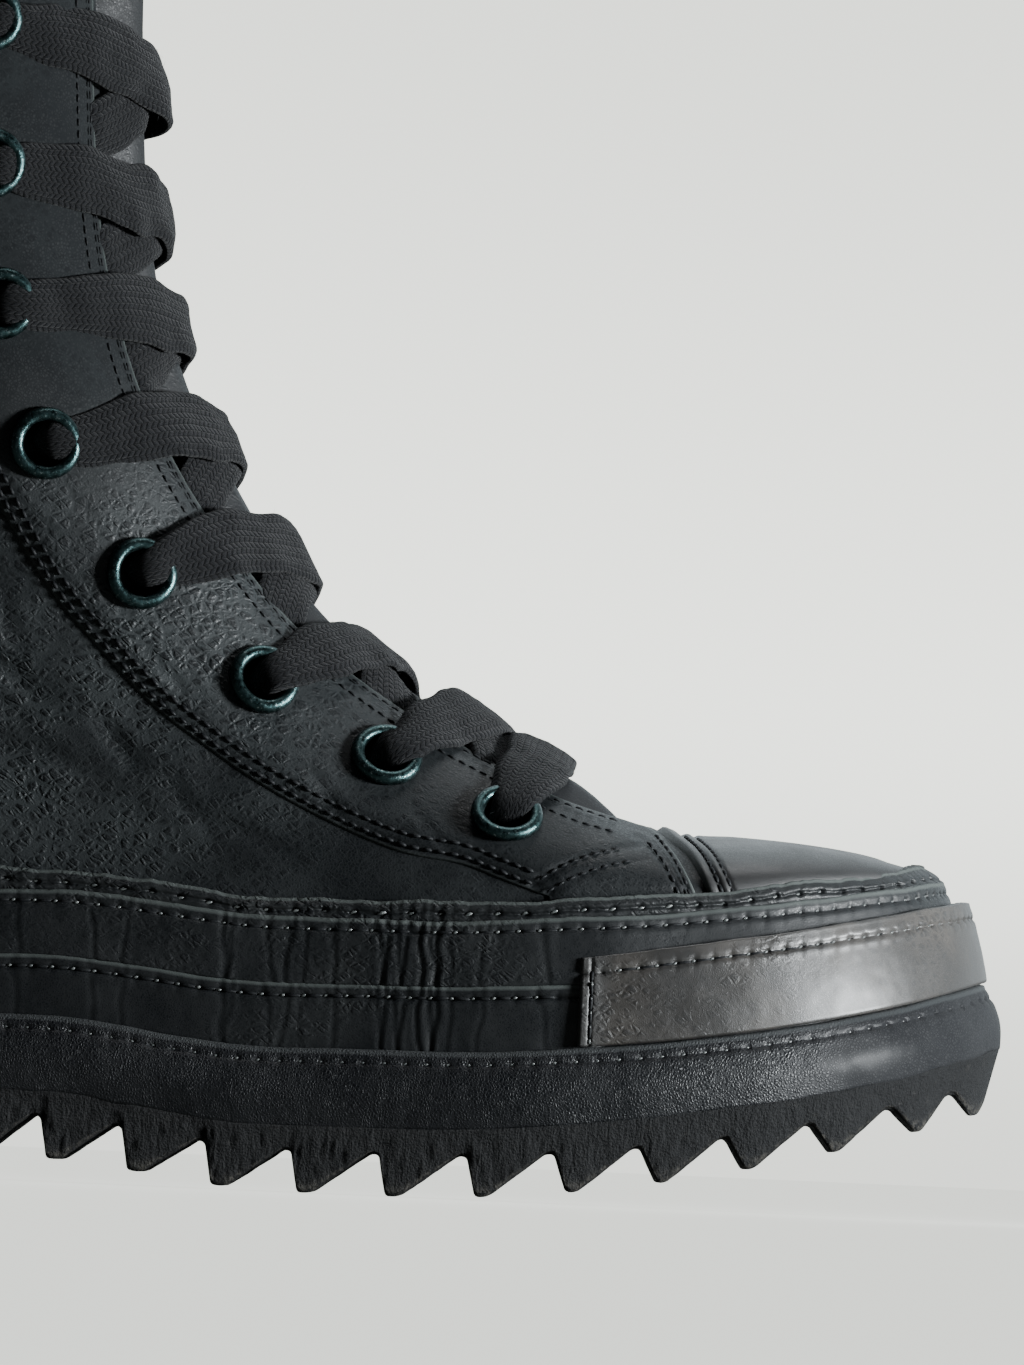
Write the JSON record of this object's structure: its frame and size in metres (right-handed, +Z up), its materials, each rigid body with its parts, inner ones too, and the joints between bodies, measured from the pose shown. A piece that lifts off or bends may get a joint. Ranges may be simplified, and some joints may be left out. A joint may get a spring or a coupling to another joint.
{
  "type": "tall lace-up leather sneaker, right shoe",
  "caption": "Tall lace-up leather sneaker with a stitched, leather-wrapped platform, a toe bumper and a saw-tooth rubber outsole.",
  "frame": {"origin": "on the floor under the middle of the bounding box", "axes": "+X to the toe, +Y to the inner (medial) side, +Z up"},
  "size_m": [0.3151, 0.1098, 0.2809],
  "materials": {
    "black_leather": "smooth, softly creased",
    "waxed_leather": "waxy sheen",
    "pebbled_leather": "fine pebble grain, glossy",
    "black_rubber": "matt, granular",
    "charcoal_cotton": "matt flat braid",
    "tongue_leather": "smooth",
    "insole_leather": "matt",
    "patinated_brass": "dark green patina"
  },
  "bodies": {
    "root": {"outsole": "black_rubber", "midsole_lower": "pebbled_leather", "midsole_middle": "black_leather", "toe_bumper": "waxed_leather", "foxing_upper": "black_leather", "top_tape": "black_leather", "upper": "black_leather", "toe_cap": "black_leather", "eyestay_lateral": "black_leather", "eyestay_medial": "black_leather", "tongue": "tongue_leather", "insole": "insole_leather", "laces": "charcoal_cotton", "eyelet_outer_1": "patinated_brass", "eyelet_outer_2": "patinated_brass", "eyelet_outer_3": "patinated_brass", "eyelet_outer_4": "patinated_brass", "eyelet_outer_5": "patinated_brass", "eyelet_outer_6": "patinated_brass", "eyelet_outer_7": "patinated_brass", "eyelet_outer_8": "patinated_brass", "eyelet_inner_1": "patinated_brass", "eyelet_inner_2": "patinated_brass", "eyelet_inner_3": "patinated_brass", "eyelet_inner_4": "patinated_brass", "eyelet_inner_5": "patinated_brass", "eyelet_inner_6": "patinated_brass", "eyelet_inner_7": "patinated_brass", "eyelet_inner_8": "patinated_brass"}
  },
  "joints": []
}
